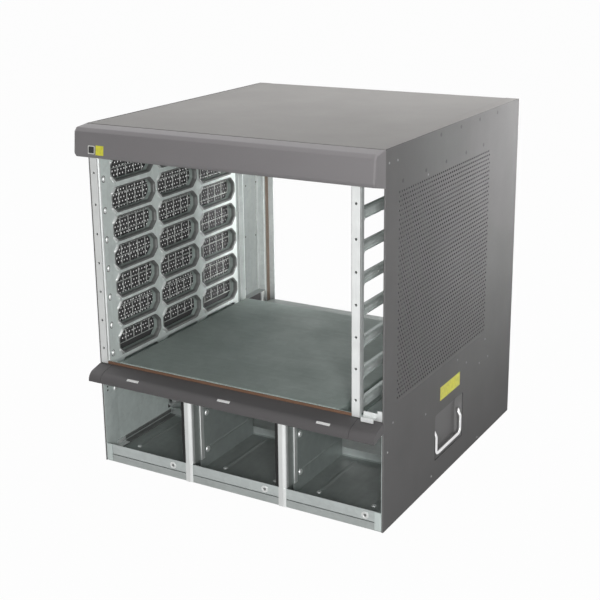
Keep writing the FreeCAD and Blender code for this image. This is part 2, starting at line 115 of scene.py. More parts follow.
def lift(flat, along, axis):
    # a flat point (u, v) stands at the height along on the named axis
    u, v = flat[..., 0], flat[..., 1]
    w = np.broadcast_to(along, u.shape)
    order = {"x": (w, u, v), "y": (u, w, v), "z": (u, v, w)}[axis]
    return np.stack(order, -1)


def gridFaces(rows, columns, wrap=False):
    # quads between neighbouring rows and columns of a grid of points
    index = np.arange(rows * columns).reshape(rows, columns)
    if wrap:
        index = np.concatenate([index, index[:, :1]], 1)
    return np.stack([index[:-1, :-1], index[:-1, 1:], index[1:, 1:], index[1:, :-1]], -1).reshape(-1, 4)


def closedSkin(grid):
    # rows of points, each wrapped into a loop, with a flat face over the first row and over the last
    rows, count = grid.shape[:2]
    loop = np.arange(count)[None]
    return grid.reshape(-1, 3), [gridFaces(rows, count, True), loop[:, ::-1], loop + (rows - 1) * count]


def flatFace(outline, along, axis):
    # one flat face inside an outline
    return lift(outline, along, axis), [np.arange(len(outline))[None]]


def prism(outline, axis, start, end):
    # a closed outline carried straight from start to end
    return closedSkin(np.stack([lift(outline, start, axis), lift(outline, end, axis)]))


def thickStrip(path, thick, axis, start, end):
    # a path, and the same path moved left by the thickness, carried from start to end
    return prism(np.concatenate([path, leftOf(path, thick)[::-1]]), axis, start, end)


def bentSheet(points, radii, thick, axis, start, end, steps=5):
    # a folded strip: a thick strip along a rounded path
    return thickStrip(roundPath(points, radii, steps), thick, axis, start, end)


def slab(x, y, z, corner=0.0):
    # a flat plate whose outline across its length in z has rounded corners
    return prism(roundBox(x, y, corner, 4), "z", *z)


def circle(across, up, sides):
    # across * cos s + up * sin s, s all the way round
    s = np.linspace(0, 2 * math.pi, sides, endpoint=False)[:, None]
    return across[..., None, :] * np.cos(s) + up[..., None, :] * np.sin(s)


def turned(places, outward, profile, sides):
    # place + r * (cos s * across + sin s * up) + h * outward for each (r, h) of the profile, s all round
    outward = unit(outward)
    across = unit(np.cross(outward, askew))
    r, h = np.asarray(profile, float).T[..., None, None]
    single, blocks = closedSkin(r * circle(across, np.cross(outward, across), sides) + h * outward)
    points = np.asarray(places, float)[:, None] + single
    start = (np.arange(len(places)) * len(single))[:, None, None]
    return points.reshape(-1, 3), [(b[None] + start).reshape(-1, b.shape[1]) for b in blocks]


def domes(places, outward, radius, high, sides=14, rings=4):
    # r * cos t across and high * sin t outwards, t from the rim to just short of the top, on a sunk foot
    t = np.linspace(0, math.radians(84), rings + 1)
    profile = np.concatenate([[[radius, -sunk]], np.stack([radius * np.cos(t), high * np.sin(t)], 1)])
    return turned(places, outward, profile, sides)


def tube(path, radius, reference, sides):
    # path point + radius * (cos s * side + sin s * other), both square to the run
    run = unit(np.gradient(path, axis=0))
    side = unit(np.cross(run, reference))
    return closedSkin(path[:, None] + radius * circle(side, np.cross(run, side), sides))


def ridge(start, end, outward, wide, high, steps=9, rings=15, lowest=0.02):
    # half a cosine across, carried from start to end, its height rising over one width at each end
    start, end, outward = (np.asarray(v, float) for v in (start, end, outward))
    long = np.linalg.norm(end - start)
    across = unit(np.cross(end - start, outward))
    u = np.linspace(-1, 1, steps)
    side = np.append(u, [1, -1]) * wide / 2
    crown = np.append(np.cos(u * math.pi / 2), [0, 0])
    sink = np.append(np.zeros(steps), [-sunk, -sunk])
    v = 0.5 - 0.5 * np.cos(np.linspace(0, math.pi, rings))
    rise = np.clip(np.minimum(v, 1 - v) * long / wide, lowest, 1)
    rise = rise * (2 - rise)
    points = start + v[:, None, None] * (end - start) + across * side[:, None]
    return closedSkin(points + outward * (rise[:, None] * high * crown + sink)[..., None])


def mirrored(shape):
    # left and right change places; the faces turn round to keep pointing outwards
    points, blocks = shape
    return points * (-1.0, 1.0, 1.0), [block[:, ::-1] for block in blocks]


def bothSides(shapes):
    return shapes + [mirrored(shape) for shape in shapes]


def markRims(mesh):
    # an edge that only one face uses stays sharp, so that a flat sheet keeps flat shading up to its rim
    used = np.zeros(len(mesh.loops), np.int32)
    mesh.loops.foreach_get("edge_index", used)
    crease = np.zeros(len(mesh.edges), bool)
    mesh.edges.foreach_get("use_edge_sharp", crease)
    mesh.edges.foreach_set("use_edge_sharp", crease | (np.bincount(used, minlength=len(crease)) == 1))


def makePiece(name, shapes, finish, nodes=(), slot="galvanised_sheet", body="chassis", sharp=32, wall=0.0,
              inside=None, edge=0.0, turn=True):
    # all the shapes as one mesh: seams closed, smooth up to the sharp angle, then the wall and soft edges
    points, faces, start = [], [], 0
    for part, blocks in shapes:
        points.append(part)
        for block in blocks:
            faces += (block + start).tolist()
        start += len(part)
    mesh = bpy.data.meshes.new(name)
    mesh.from_pydata(toFrame(np.concatenate(points)).tolist(), [], faces)
    work = bmesh.new()
    work.from_mesh(mesh)
    bmesh.ops.remove_doubles(work, verts=work.verts, dist=closeBy)
    if turn:
        bmesh.ops.recalc_face_normals(work, faces=work.faces)
    work.to_mesh(mesh)
    work.free()
    mesh.polygons.foreach_set("use_smooth", np.ones(len(mesh.polygons), bool))
    mesh.set_sharp_from_angle(angle=math.radians(sharp))
    mesh.materials.append(finish)
    piece = bpy.data.objects.new(name, mesh)
    scene.collection.objects.link(piece)
    if wall:
        markRims(mesh)
        thick = piece.modifiers.new("wall", "SOLIDIFY")
        thick.thickness = wall * millimetre
        thick.offset = -1
        if inside:
            mesh.materials.append(inside)
            thick.material_offset = 1
            thick.material_offset_rim = 1
    if edge:
        soften = piece.modifiers.new("edge", "BEVEL")
        soften.width = edge * millimetre
        soften.segments = 2
        soften.limit_method = "ANGLE"
        soften.angle_limit = math.radians(50)
        soften.harden_normals = True
    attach(piece, body)
    if nodes:
        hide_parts(*nodes)


def makePair(ending, shapes, finish, node="", body="", **more):
    # a piece on the right and its mirror image on the left; node and body are endings after the side
    for side, across in (("right", lambda shape: shape), ("left", mirrored)):
        makePiece(side + ending, [across(shape) for shape in shapes], finish, [side + node] if node else (),
                  body=side + body if body else "chassis", **more)


# Finishes
def feed(tree, node, inputs):
    # an input is a value, or another node's output to link
    for socket, value in inputs.items():
        if isinstance(value, bpy.types.NodeSocket):
            tree.links.new(value, node.inputs[socket])
        else:
            node.inputs[socket].default_value = value


def addNode(tree, kind, inputs, operation=None, output=0):
    node = tree.nodes.new("ShaderNode" + kind)
    if operation:
        node.operation = operation
    feed(tree, node, inputs)
    return node.outputs[output]


def grain(tree, scale, detail=3.0, stretch=(1, 1, 1)):
    # fractal noise on the piece's own coordinates, stretched along one axis where asked
    place = addNode(tree, "TexCoord", {}, output="Object")
    mapped = addNode(tree, "Mapping", {"Vector": place, "Scale": stretch})
    noise = {"Vector": mapped, "Scale": scale, "Detail": detail, "Roughness": 0.55}
    return addNode(tree, "TexNoise", noise, output="Fac")


def spangle(tree, scale):
    # cells of crystals, each with a shade of its own
    place = addNode(tree, "TexCoord", {}, output="Object")
    cells = addNode(tree, "TexVoronoi", {"Vector": place, "Scale": scale}, output="Color")
    return addNode(tree, "SeparateColor", {"Color": cells}, output="Red")


def between(tree, factor, low, high, start=0.3, stop=0.7):
    # a factor becomes a number between low and high
    spans = {"Value": factor, "From Min": start, "From Max": stop, "To Min": low, "To Max": high}
    return addNode(tree, "MapRange", spans)


def newFinish(name, colour, rough, metal, gloss):
    material = bpy.data.materials.new(name)
    material.use_nodes = True
    tree = material.node_tree
    plain = {"Base Color": (*colour, 1), "Roughness": rough, "Metallic": metal, "Specular IOR Level": gloss}
    feed(tree, tree.nodes["Principled BSDF"], plain)
    return material, tree


def dress(material, colour, tints, dulling, height, strength, distance):
    # the colour times every tint, the roughness between two levels, and a relief
    tree = material.node_tree
    for tint in tints:
        colour = addNode(tree, "VectorMath", {"Vector": colour, "Scale": between(tree, *tint)}, "SCALE")
    normal = addNode(tree, "Bump", {"Height": height, "Strength": strength, "Distance": distance})
    look = {"Base Color": colour, "Roughness": between(tree, *dulling), "Normal": normal}
    feed(tree, tree.nodes["Principled BSDF"], look)
    return material


def paintFinish(name, colour, rough=0.55, gloss=0.25):
    # stoved textured paint: fine pebbles, slow cloudiness, faint rubbed streaks
    material, tree = newFinish(name, colour, rough, 0.0, gloss)
    pebbles = grain(tree, 1500, 2.0)
    clouds = grain(tree, 9, 4.0)
    rubs = grain(tree, 40, 3.0, (1, 1, 0.12))
    tints = [(clouds, 0.95, 1.05), (rubs, 0.97, 1.03), (pebbles, 0.94, 1.06)]
    return dress(material, colour, tints, (rubs, rough - 0.06, rough + 0.06), pebbles, 0.35, 0.00018)


def zincFinish(name, colour, rough, metal, cells=150, stretch=(1, 1, 0.1), streak=0.05, gloss=0.5):
    # zinc on rolled sheet: crystals, rolling streaks and handling smudges
    material, tree = newFinish(name, colour, rough, metal, gloss)
    crystals = spangle(tree, cells)
    streaks = grain(tree, 160, 4.0, stretch)
    smudges = grain(tree, 14, 5.0)
    tints = [(crystals, 0.96, 1.04, 0, 1), (streaks, 1 - streak, 1 + streak), (smudges, 0.93, 1.05)]
    return dress(material, colour, tints, (smudges, rough + 0.1, rough - 0.06), streaks, 0.08, 0.0002)


def mouldFinish(name, colour, rough=0.5):
    # moulded plastic with a spark-eroded grain and slight flow marks
    material, tree = newFinish(name, colour, rough, 0.0, 0.4)
    pits = grain(tree, 2200, 2.0)
    flow = grain(tree, 12, 4.0, (0.4, 1, 1))
    tints = [(flow, 0.95, 1.05), (pits, 0.95, 1.05)]
    return dress(material, colour, tints, (flow, rough - 0.05, rough + 0.07), pits, 0.3, 0.00012)


def platedFinish(name, colour, rough, metal):
    # bright plating with fine draw lines and dulled patches
    material, tree = newFinish(name, colour, rough, metal, 0.5)
    lines = grain(tree, 900, 3.0, (1, 1, 0.05))
    dull = grain(tree, 45, 4.0)
    tints = [(lines, 0.96, 1.03), (dull, 0.95, 1.03)]
    return dress(material, colour, tints, (dull, rough - 0.05, rough + 0.12), lines, 0.06, 0.0001)


def softFinish(name, colour, rough=0.8, pores=700, depth=0.0004, gloss=0.3):
    # foam, film and print: open pores or specks over an even colour
    material, tree = newFinish(name, colour, rough, 0.0, gloss)
    holes = grain(tree, pores)
    patch = grain(tree, 60)
    tints = [(holes, 0.88, 1.08), (patch, 0.95, 1.04)]
    return dress(material, colour, tints, (patch, rough - 0.08, rough + 0.06), holes, 0.4, depth)


# the side panels' grey is a darker copy of the cover's grey, as painted shade on the sides
shadedPanelPaint = paintFinish("shadedPanelPaint", (0.218, 0.215, 0.215), 0.68, 0.06)
coverPaint = paintFinish("coverPaint", (0.338, 0.329, 0.321), 0.7, 0.08)
# near-black inside of the panels, as painted shade in the gap between the cage walls and the panels
shadedInsidePaint = paintFinish("shadedInsidePaint", (0.075, 0.0745, 0.075))
weldPaint = paintFinish("weldPaint", (0.13, 0.13, 0.132))
dishPaint = paintFinish("dishPaint", (0.24, 0.237, 0.237))
fasciaPlastic = mouldFinish("fasciaPlastic", (0.255, 0.243, 0.249))
hoodPlastic = mouldFinish("hoodPlastic", (0.112, 0.107, 0.109))
cageZinc = zincFinish("cageZinc", (0.77, 0.83, 0.808), 0.55, 0.06, gloss=0.25)
# a darker, mirror-like copy of the cage zinc, as painted shade in the collar ends of the right wall
shadedCollarZinc = zincFinish("shadedCollarZinc", (0.34, 0.38, 0.365), 0.3, 0.8)
# a darker copy of the zinc, as painted shade on the rear liners and on the rear margins of the cage walls
shadedLinerZinc = zincFinish("shadedLinerZinc", (0.30, 0.325, 0.315), 0.75, 0.0, gloss=0.15)
# a lighter copy of the zinc: painted highlight on the bends of the cage walls, painted light on the rear
# flanges, the rear corner posts and the backs of the handle dishes
litFoldZinc = zincFinish("litFoldZinc", (0.84, 0.87, 0.86), 0.36, 0.4)
# a darker copy of the zinc, as painted shade on the card deck and in the collar ends of the left wall
shadedDeckZinc = zincFinish("shadedDeckZinc", (0.39, 0.45, 0.425), 0.55, 0.2, 120, (0.1, 1, 1))
bayZinc = zincFinish("bayZinc", (0.70, 0.77, 0.75), 0.5, 0.25, streak=0.02)
# a lighter copy of the tray's zinc: painted light on the sill and the rear stop, painted highlight on the
# guide edges
litTrayZinc = zincFinish("litTrayZinc", (0.52, 0.56, 0.55), 0.42, 0.45, stretch=(0.1, 1, 1))
baseZinc = zincFinish("baseZinc", (0.42, 0.45, 0.44), 0.42, 0.45, stretch=(0.1, 1, 1))
# a darker copy of the bays' zinc, as painted shade on the dividers under the hood
shadedDividerZinc = zincFinish("shadedDividerZinc", (0.30, 0.335, 0.325), 0.5, 0.25, streak=0.02)
# a darker copy of the zinc, as painted shade on the tray floor, the posts' side flanges and the rear lower
# panel
shadedFloorZinc = zincFinish("shadedFloorZinc", (0.30, 0.325, 0.315), 0.45, 0.35, stretch=(1, 0.1, 1))
# near-black zinc: the colour of the bay guides, and painted shade in the collar roots of the left wall, the
# catch slots and the insert bores
guideAndShadeZinc = zincFinish("guideAndShadeZinc", (0.20, 0.205, 0.20), 0.45, 0.3, stretch=(1, 0.1, 1))
# bright plating, used also as painted highlight on the window beads and catches, the rolled post edges, the
# divider noses and dimples, the liner dimples, the floor studs and the right rail
brightAndHighlightSteel = platedFinish("brightAndHighlightSteel", (0.86, 0.88, 0.87), 0.34, 0.6)
# a dimmer copy of the bright plating, as painted shade on the post channels and the left rail; also the
# plating of the insert rings
postAndShadeSteel = platedFinish("postAndShadeSteel", (0.74, 0.755, 0.745), 0.36, 0.5)
headSteel = platedFinish("headSteel", (0.42, 0.43, 0.425), 0.5, 0.35)
wireZinc = platedFinish("wireZinc", (0.52, 0.535, 0.52), 0.5, 0.3)
bailChrome = platedFinish("bailChrome", (0.80, 0.80, 0.80), 0.18, 1.0)
gasketFoam = softFinish("gasketFoam", (0.23, 0.13, 0.085))
rearFoam = softFinish("rearFoam", (0.31, 0.24, 0.195))
yellowFilm = softFinish("yellowFilm", (0.92, 0.88, 0.085), 0.45, 300, 0.00002, 0.5)
whitePrint = softFinish("whitePrint", (0.95, 0.95, 0.94), 0.5, 500, 0.00002)
socketBlack = softFinish("socketBlack", (0.02, 0.02, 0.02), 0.3, 900, 0.00003, 0.5)
# black as painted shade: the strip in the gap beside each post and the bumps in the liner holes
shadeBlack = softFinish("shadeBlack", (0.015, 0.015, 0.015), 0.7, 900, 0.0001)
bezelPlastic = softFinish("bezelPlastic", (0.88, 0.88, 0.84), 0.45, 900, 0.00003, 0.5)
print("finishes ready")

# Side panels
panel = Sizes(half=218.0, depth=440.0, height=482.6, sheet=1.2, hem=12.0, holeRadius=1.48, holePitch=6.5,
              rowPitch=5.629, rows=47, columns=45, firstY=38.0, firstZ=167.0,
              mouth=(157.5, 254.0, 31.5, 97.2), mouthCorner=3.5, beadZ=161.0, beadSpan=(34.0, 317.0),
              beadWide=4.0, beadHigh=0.75)


def panelSkin(p):
    # staggered round holes: each cell has six corner points and a ring of twelve, joined by six pentagons
    steps = 2 * p.columns + 2
    gridY = p.firstY - p.holePitch / 2 + np.arange(steps) * p.holePitch / 2
    gridZ = p.firstZ - p.rowPitch / 2 + np.arange(p.rows + 1) * p.rowPitch
    corners = np.stack(np.meshgrid(gridY, gridZ), -1).reshape(-1, 2)
    index = np.arange(len(corners)).reshape(p.rows + 1, steps)
    row, column = (v.ravel() for v in np.meshgrid(np.arange(p.rows), np.arange(p.columns), indexing="ij"))
    left = 2 * column + row % 2
    angle = np.radians(30) * np.arange(12)
    middle = np.stack([gridY[left + 1], p.firstZ + row * p.rowPitch], -1)
    rings = middle[:, None] + p.holeRadius * np.stack([np.cos(angle), np.sin(angle)], -1)
    first = len(corners) + 12 * np.arange(len(row))
    around = [index[row + up, left + k] for up, k in ((0, 1), (0, 2), (1, 2), (1, 1), (1, 0), (0, 0))]
    blocks = []
    for k in range(6):
        ring = [first + (2 * k + 11 - step) % 12 for step in range(3)]
        blocks.append(np.stack([around[k], around[(k + 1) % 6], *ring], 1))
    # a square closes every even row at the rear and every odd row at the front
    for start, side in ((0, -2), (1, 0)):
        k = np.arange(start, p.rows, 2)
        square = [index[k, side], index[k, side + 1], index[k + 1, side + 1], index[k + 1, side]]
        blocks.append(np.stack(square, 1))
    # plain sheet round the holes; the part below is split at one column, through the mouth of the handle
    y0, y1, z0, z1 = p.mouth
    opening = roundBox((y0, y1), (z0, z1), p.mouthCorner, 4)
    split = int(round(((y0 + y1) / 2 - gridY[0]) / (p.holePitch / 2)))
    splitY = gridY[split]
    frontArc = opening[opening[:, 0] < splitY]
    frontArc = frontArc[np.argsort(frontArc[:, 1])]
    rearArc = opening[opening[:, 0] > splitY]
    rearArc = rearArc[np.argsort(-rearArc[:, 1])]
    front, rear, low, high = p.sheet, p.depth, gridZ[0], gridZ[-1]
    extra = [(front, 0), (splitY, 0), (splitY, z0), (splitY, z1), (rear, 0), (rear, low), (front, low),
             (front, high), (rear, high), (rear, p.height), (front, p.height)]
    points = np.concatenate([corners, rings.reshape(-1, 2), extra, frontArc, rearArc])
    e = len(corners) + rings.size // 2 + np.arange(len(extra))
    frontIndex = e[-1] + 1 + np.arange(len(frontArc))
    rearIndex = frontIndex[-1] + 1 + np.arange(len(rearArc))
    loops = [[*e[:3], *frontIndex, e[3], *index[0, :split + 1][::-1], e[6]],
             [e[1], e[4], e[5], *index[0, split:][::-1], e[3], *rearIndex, e[2]],
             [e[6], *index[:, 0], e[7]],
             [e[5], e[8], *index[::-1, -1]],
             [e[7], *index[-1], *e[8:]]]
    return lift(points, p.half, "x"), blocks + [np.array([loop]) for loop in loops]


def panelHem(p):
    # the front edge turned back on itself, half a round and then a flat strip; the bead under the holes
    t = np.linspace(0, -math.pi, 13)
    x = p.half - p.sheet
    bend = np.stack([x + p.sheet * np.cos(t), p.sheet + p.sheet * np.sin(t)], 1)
    fold = np.concatenate([bend, [(x - p.sheet, p.hem), (x, p.hem), (x, p.sheet)]])
    bead = ridge(*[(p.half, y, p.beadZ) for y in p.beadSpan], (1, 0, 0), p.beadWide, p.beadHigh)
    return [prism(fold, "z", 0, p.height - p.sheet), bead]


# the sides in a darker copy of the grey and the insides near-black: both painted shade
makePair("_panel_skin", [panelSkin(panel)], shadedPanelPaint, "_side_panel", slot="painted_grey", wall=panel.sheet,
         inside=shadedInsidePaint, turn=False)
makePair("_panel_hem", panelHem(panel), shadedPanelPaint, "_side_panel", slot="painted_grey")

brightHeads = Sizes(radius=1.5, high=0.6, places=[
    (9.1, 465.8), (31.7, 465.4), (120, 431.5), (333, 150), (263, 137.6), (313, 120), (346, 119.5),
    (230.6, 152), (125.5, 112), (313, 5), (148, 13.6), (26, 138.6), (11, 104.6)])
paintedHeads = Sizes(radius=2.6, high=0.35, places=[
    (47.3, 438), (114, 438), (177, 438), (243, 438), (305, 438), (158.4, 475), (223.7, 475), (289, 475),
    (354.6, 475)])
for ending, heads, finish, slot in (("bright", brightHeads, headSteel, "bright_steel"),
                                    ("painted", paintedHeads, weldPaint, "painted_grey")):
    shape = domes([(panel.half, y, z) for y, z in heads.places], (1, 0, 0), heads.radius, heads.high)
    makePair("_panel_heads_" + ending, [shape], finish, slot=slot)
print("side panels ready")

# Top cover
cover = Sizes(half=216.8, front=2.5, rear=440.0, top=482.6, drop=27.0, sheet=1.2, bend=1.8, span=197.7,
              clearFront=20.5, clearRear=424.0, edge=1.1)


def coverShapes(c):
    # the middle is bent down at the rear; the side strips are bent down beside the panels, flat at their ends
    low = c.top - c.drop
    middle = bentSheet([(c.rear, low), (c.rear, c.top), (c.front, c.top)], [c.bend], c.sheet,
                       "x", -c.span, c.span)
    bent = bentSheet([(c.half, low), (c.half, c.top), (c.span, c.top)], [c.bend], c.sheet,
                     "y", c.clearFront, c.clearRear)
    flat = roundBox((c.span, c.half), (c.top - c.sheet, c.top), [0, 0, c.edge, 0])
    ends = [prism(flat, "y", c.front, c.clearFront), prism(flat, "y", c.clearRear, c.rear)]
    return [middle] + bothSides([bent] + ends)


makePiece("top_cover_sheet", coverShapes(cover), coverPaint, ["top_cover"], "painted_grey")

# Fascia and the pieces in it
fascia = Sizes(half=218.0, foot=437.4, endRound=3.0, fade=6.0, radii=[0.0, 3.5, 3.5, 3.0, 3.0, 0.0],
               profile=[(0.0, 45.0), (-21.5, 43.8), (-25.6, 39.1), (-28.5, 10.2), (-25.5, 5.6), (0.0, 0.0)])


def fasciaShape(f):
    # a rounded section carried across; its ends draw in by R * (1 - cos a) as x nears the end by R * sin a
    outline = roundLoop([(y, f.foot + z) for y, z in f.profile], f.radii)
    inward = leftOf(np.concatenate([outline[-1:], outline, outline[:1]]), 1.0)[1:-1] - outline
    inward = inward * np.clip(-outline[:, :1] / f.fade, 0, 1)
    reach = f.half - f.endRound + f.endRound * np.sin(quarter)
    draw = f.endRound * (1 - np.cos(quarter))
    x = np.concatenate([-reach[::-1], reach])
    amount = np.concatenate([draw[::-1], draw])
    return closedSkin(lift(outline + amount[:, None, None] * inward, x[:, None], "x"))


makePiece("fascia_moulding", [fasciaShape(fascia)], fasciaPlastic, ["fascia"], "grey_moulding")

jack = Sizes(x=-188.5, up=16.6, outer=11.0, inner=8.2, corner=1.2, bezel=(-0.4, 0.1), plate=(-4.3, 4.3),
             plateCorner=0.8, plateSpan=(-0.3, 0.12), wellPlace=(0, 0.1, 0),
             well=[(2.9, -0.2), (2.9, 0.3), (2.5, 0.42), (2.1, 0.3), (2.0, -0.2)])


def onFascia(shape):
    # local (across, outwards, up) laid on the sloping front of the fascia, where the jack is
    points, blocks = shape
    head, foot = np.array(fascia.profile[2:4])
    slope = unit(head - foot)
    base = foot + slope * (jack.up - foot[1]) / slope[1] + (0, fascia.foot)
    across, out, high = points.T
    y = base[0] - out * slope[1] + high * slope[0]
    z = base[1] + out * slope[0] + high * slope[1]
    return np.stack([jack.x + across, y, z], 1), blocks


def squareFrame(outer, inner, low, high, corner):
    # four loops of a rounded square, the last joined to the first: outer foot and top, inner top and foot
    loops = []
    for size, level in ((outer, low), (outer, high), (inner, high), (inner, low)):
        span = (-size / 2, size / 2)
        loops.append(lift(roundBox(span, span, corner * size / outer, 3), level, "y"))
    count = len(loops[0])
    return np.concatenate(loops), [gridFaces(5, count, True) % (4 * count)]


bezel = squareFrame(jack.outer, jack.inner, *jack.bezel, jack.corner)
plate = prism(roundBox(jack.plate, jack.plate, jack.plateCorner, 3), "y", *jack.plateSpan)
well = turned([jack.wellPlace], (0, 1, 0), jack.well, sides=20)
makePiece("earth_jack_bezel", [onFascia(bezel)], bezelPlastic, ["earth_jack"], "black_socket")
makePiece("earth_jack_socket", [onFascia(plate), onFascia(well)], socketBlack, ["earth_jack"], "black_socket")
print("cover and fascia ready")

# Hood over the power bays
hood = Sizes(path=[(2.5, 134.0), (2.5, 147.5), (-26.5, 139.9), (-26.5, 129.0)], radii=[0.0, 13.0], wall=2.0,
             joints=(-198.0, 183.0), gap=0.25, half=218.0, hemClear=215.3, bodyEdge=0.4, capEdge=0.5,
             bars=(-146.0, 0.0, 146.0), barWide=19.0, barUp=9.5, barTall=3.6, barLift=0.1, barThick=0.12,
             noseZ=133.0)


def hoodShell(h, start, end):
    return bentSheet(h.path, h.radii, h.wall, "x", start, end, 9)


def hoodCap(h, start):
    # the shell runs to the panel's hem; past it only the part ahead of the panel goes on, to an end plate
    rear, crown, nose = h.path[:3]
    run = roundPath(h.path, h.radii, 9)
    top = (0.0, np.interp(0, [nose[0], crown[0]], [nose[1], crown[1]]))
    rim = np.concatenate([[top], run[run[:, 0] <= 0]])
    end = np.concatenate([rim, [(0.0, rear[1])]])
    inside = h.half - h.wall
    return [hoodShell(h, start, h.hemClear), thickStrip(rim, h.wall, "x", h.hemClear, inside),
            prism(end, "x", inside, h.half)]


def hoodBar(h, x):
    # a thin printed patch that follows the hood's outside, a little above it
    path = leftOf(roundPath(h.path, h.radii, 24), -h.barLift)
    run = np.concatenate([[0], np.cumsum(np.linalg.norm(np.diff(path, axis=0), axis=1))])
    nose = run[np.argmin(np.abs(path - (h.path[2][0], h.noseZ)).sum(1))]
    s = nose - h.barUp + np.linspace(-h.barTall / 2, h.barTall / 2, 7)
    flat = np.stack([np.interp(s, run, path[:, k]) for k in (0, 1)], 1)
    return thickStrip(flat, h.barThick, "x", x - h.barWide / 2, x + h.barWide / 2)


leftJoint, rightJoint = hood.joints
shell = hoodShell(hood, leftJoint + hood.gap, rightJoint - hood.gap)
rightCap = hoodCap(hood, rightJoint + hood.gap)
leftCap = [mirrored(shape) for shape in hoodCap(hood, hood.gap - leftJoint)]
makePiece("hood_shell", [shell], hoodPlastic, ["hood_body"], "grey_moulding", edge=hood.bodyEdge)
makePiece("hood_right_end", rightCap, hoodPlastic, ["hood_right_cap"], "grey_moulding", edge=hood.capEdge)
makePiece("hood_left_end", leftCap, hoodPlastic, ["hood_left_cap"], "grey_moulding", edge=hood.capEdge)
makePiece("hood_bars", [hoodBar(hood, x) for x in hood.bars], whitePrint, slot="grey_moulding")
print("hood ready")

# Cage walls with pressed windows
wall = Sizes(left=-203.0, right=171.5, front=2.5, rear=342.0, foot=139.7, top=437.0, sheet=1.2,
             flangeStart=3.4, flangeFoot=151.6, frontTurn=6.2, bend=3.0, rearTurn=2.2, rearBend=1.5,
             rearFlange=8.0, reach=13.9, lip=8.0, lipIn=3.0, lipBend=2.0,
             rows=[169.9 + 40.64 * k for k in range(6)] + [416.1], pitch=40.64,
             columns=[74.5 + 103.5 * k for k in range(3)], cell=51.75, halfLong=47.0, halfTall=16.5,
             chamfer=10.0, corner=4.5, arcPoints=5, rim=1.7, root=5.0, depth=10.4, railHole=2.6, catchY=11.0,
             catchBelow=13.6, catchTall=8.0, catchWide=5.4, catchHigh=2.2, slotMargin=0.8, slotFlat=0.3,
             slotSpan=(-0.2, 0.06), beadGap=3.2, beadWide=4.4, beadHigh=2.4)


def windowLoop(w, grow):
    # eight arcs of 45 degrees: arc centre + (corner + grow) * (cos, sin)
    a, b = w.halfLong - w.corner, w.halfTall - w.corner
    slope = w.chamfer + w.corner * (math.sqrt(2) - 1)
    c, d = w.halfLong - slope, w.halfTall - slope
    centres = np.array([(a, d), (c, b), (-c, b), (-a, d), (-a, -d), (-c, -b), (c, -b), (a, -d)])
    angle = np.radians(45 * np.arange(8)[:, None] + np.linspace(0, 45, w.arcPoints))
    ring = (w.corner + grow) * np.stack([np.cos(angle), np.sin(angle)], -1)
    return (centres[:, None] + ring).reshape(-1, 2)


def halfway(values, first, last):
    # the bounds between neighbouring values, with a first and a last one
    return [first] + [(low + high) / 2 for low, high in zip(values, values[1:])] + [last]


def windowField(w):
    # flat sheet round each window, a quarter-round rim, a straight collar in two bands; x is minus the depth
    grows = np.append(w.rim * (1 - np.sin(quarter)), [0.0, 0.0])
    depths = np.append(w.rim * (1 - np.cos(quarter)), [w.root, w.depth])
    loops = np.stack([windowLoop(w, grow) for grow in grows])
    outer = loops[0]
    n = len(outer)
    inner = gridFaces(len(grows), n, True)[:, ::-1]
    edges = halfway(w.rows, w.rows[0] - w.pitch / 2, w.top)
    here = np.arange(n)
    there = np.roll(here, -1)
    sideways = np.isin(here // w.arcPoints, (0, 3, 4, 7))
    same = sideways == sideways[there]
    turns = here[~same]
    flat = np.stack([here, n + here, n + there, there], 1)[same]
    five = np.stack([turns, n + turns, 2 * n + np.arange(4), n + there[turns], there[turns]], 1)
    shapes, roots, ends = [], [], []
    for y in w.columns:
        left, right = y - w.cell, y + w.cell
        for z, below, above in zip(w.rows, edges, edges[1:]):
            up, down = above - z, z - below
            edge = outer.copy()
            edge[sideways, 0] = np.sign(outer[sideways, 0]) * w.cell
            edge[~sideways, 1] = np.where(outer[~sideways, 1] > 0, up, -down)
            corners = [(w.cell, up), (-w.cell, up), (-w.cell, -down), (w.cell, -down)]
            shapes.append((lift(np.concatenate([outer, edge, corners]) + (y, z), 0.0, "x"), [flat, five]))
            collar = lift(loops.reshape(-1, 2) + (y, z), np.repeat(-depths, n), "x")
            roots.append((collar[:-n], [inner[:-n]]))
            ends.append((collar[-2 * n:], [inner[:n]]))
        # the sheet under the lowest row, with the head of one more opening
        low, opening = edges[0], w.rows[0] - w.pitch
        over = np.sort(outer[~sideways & (outer[:, 1] < 0), 0])[::-1] + y
        wide = w.halfLong - (w.foot - opening - (w.halfTall - w.chamfer))
        crown, flatTop = opening + w.halfTall, w.halfLong - w.chamfer
        notch = [(left, w.foot), (y - wide, w.foot), (y - flatTop, crown), (y + flatTop, crown),
                 (y + wide, w.foot), (right, w.foot), (right, low), *[(u, low) for u in over], (left, low)]
        shapes.append(flatFace(np.array(notch), 0.0, "x"))
    return shapes, roots, ends


def holedStrip(x, z, centres, radius, y, sides=10):
    # a strip in two halves; each half goes round its side of every hole: centre + r * (cos t, sin t)
    middle = (x[0] + x[1]) / 2
    bounds = halfway(centres, *z)
    t = np.radians(np.linspace(90, 270, 2 * sides + 1))
    arc = radius * np.stack([np.cos(t), np.sin(t)], 1)
    shapes = []
    for low, high, centre in zip(bounds, bounds[1:], centres):
        near, far = arc[::-1] + (middle, centre), arc * (-1, 1) + (middle, centre)
        left = [(x[0], low), (middle, low), *near, (middle, high), (x[0], high)]
        right = [(middle, low), (x[1], low), (x[1], high), (middle, high), *far]
        shapes += [flatFace(np.array(half), y, "y") for half in (left, right)]
    return shapes


